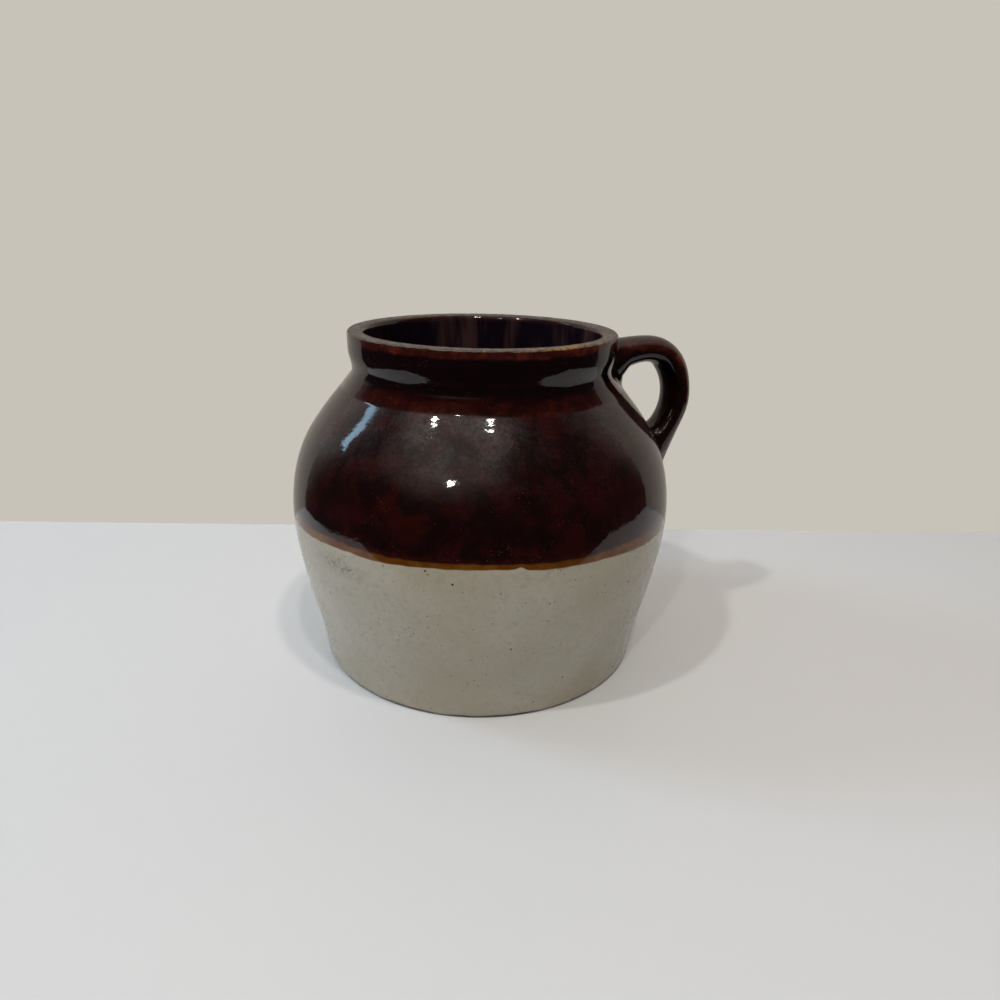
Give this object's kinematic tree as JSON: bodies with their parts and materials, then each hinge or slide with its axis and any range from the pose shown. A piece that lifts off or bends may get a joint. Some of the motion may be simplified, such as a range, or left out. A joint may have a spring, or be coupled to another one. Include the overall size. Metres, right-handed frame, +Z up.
{
  "type": "bean pot",
  "caption": "Open round-bellied stoneware pot with a straight mouth and one strap handle, dark glaze above and pale glaze below.",
  "frame": {"origin": "centre of the flat base, on the pot's axis", "axes": "+Z up along the pot's axis, +X out through the middle of the handle"},
  "size_m": [0.1755, 0.164, 0.1415],
  "materials": {
    "bare_stoneware": "unglazed, worn and slightly sandy",
    "brown_glaze": "glossy, redder where it is thin",
    "amber_glaze": "glossy, where the two glazes overlap",
    "cream_glaze": "soft gloss with fine pits and iron specks"
  },
  "bodies": {
    "root": {"clay_body": "bare_stoneware", "handle": "bare_stoneware", "upper_slip_joint": "bare_stoneware", "lower_slip_joint": "bare_stoneware", "brown_glaze": "brown_glaze", "handle_glaze": "brown_glaze", "inner_glaze": "brown_glaze", "amber_band": "amber_glaze", "cream_glaze": "cream_glaze"}
  },
  "joints": []
}
